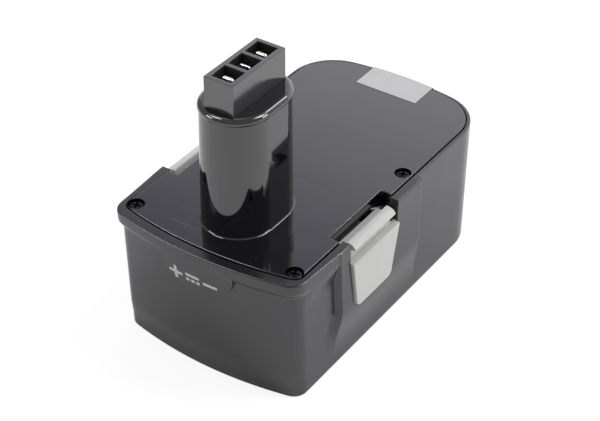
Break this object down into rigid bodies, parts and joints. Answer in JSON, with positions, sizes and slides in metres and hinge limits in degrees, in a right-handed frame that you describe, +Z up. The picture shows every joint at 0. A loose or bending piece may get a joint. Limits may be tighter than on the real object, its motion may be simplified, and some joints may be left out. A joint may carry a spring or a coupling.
{
  "type": "power tool battery pack",
  "caption": "Slide-in battery pack: a deep case of round cells, a screwed cover with a tall contact stem, and a sprung latch pressed in on each side.",
  "frame": {"origin": "bottom centre of the pack's box, on the rest face", "axes": "+Z up along the stem, -Y to the front with the thumb rest, +X to the pack's right-hand latch"},
  "size_m": [0.0834, 0.1355, 0.1124],
  "materials": {
    "case_plastic": "fine satin grain",
    "cover_plastic": "polished",
    "block_plastic": "satin",
    "contact_nickel": "nickel plated",
    "latch_plastic": "fine grain",
    "inner_plastic": "plain",
    "spring_steel": "bright wire",
    "screw_black": "black oxide",
    "can_steel": "nickel plated",
    "sleeve_film": "shrink film",
    "insulating_paper": "plain",
    "strap_nickel": "rolled",
    "foam": "closed cell",
    "lead_red": "insulated wire",
    "lead_black": "insulated wire",
    "lead_white": "insulated wire",
    "label_paper": "blank seal"
  },
  "bodies": {
    "pack": {"lower_case": "case_plastic", "top_cover": "cover_plastic", "contact_holder": "block_plastic", "contact_plus": "contact_nickel", "contact_sense": "contact_nickel", "contact_minus": "contact_nickel", "spring_plate_left": "inner_plastic", "spring_plate_right": "inner_plastic", "spring_left_fore": "spring_steel", "spring_left_aft": "spring_steel", "spring_right_fore": "spring_steel", "spring_right_aft": "spring_steel", "cover_screws": "screw_black", "cell_01": "can_steel", "cell_02": "can_steel", "cell_03": "can_steel", "cell_04": "can_steel", "cell_05": "can_steel", "cell_06": "can_steel", "cell_07": "can_steel", "cell_08": "can_steel", "cell_09": "can_steel", "cell_10": "can_steel", "cell_11": "can_steel", "cell_12": "can_steel", "cell_13": "can_steel", "cell_14": "can_steel", "cell_15": "can_steel", "cell_sleeves": "sleeve_film", "insulating_rings": "insulating_paper", "straps_top": "strap_nickel", "straps_bottom": "strap_nickel", "foam_bed": "foam", "insulating_sheet": "insulating_paper", "front_packing": "foam", "thermal_switch": "can_steel", "lead_plus": "lead_red", "lead_minus": "lead_black", "lead_sense": "lead_white", "seal_label": "label_paper"},
    "latch_left": {"latch_left": "latch_plastic"},
    "latch_right": {"latch_right": "latch_plastic"}
  },
  "joints": [
    {"name": "latch_right_press", "type": "slide", "parent": "pack", "child": "latch_right", "axis": [-1, 0, 0], "range_m": [0, 0.0023], "stiffness_N_per_m": 1500, "springref_m": -0.002, "deforming": ["spring_right_fore", "spring_right_aft"]},
    {"name": "latch_left_press", "type": "slide", "parent": "pack", "child": "latch_left", "axis": [1, 0, 0], "range_m": [0, 0.0023], "stiffness_N_per_m": 1500, "springref_m": -0.002, "deforming": ["spring_left_fore", "spring_left_aft"]}
  ]
}
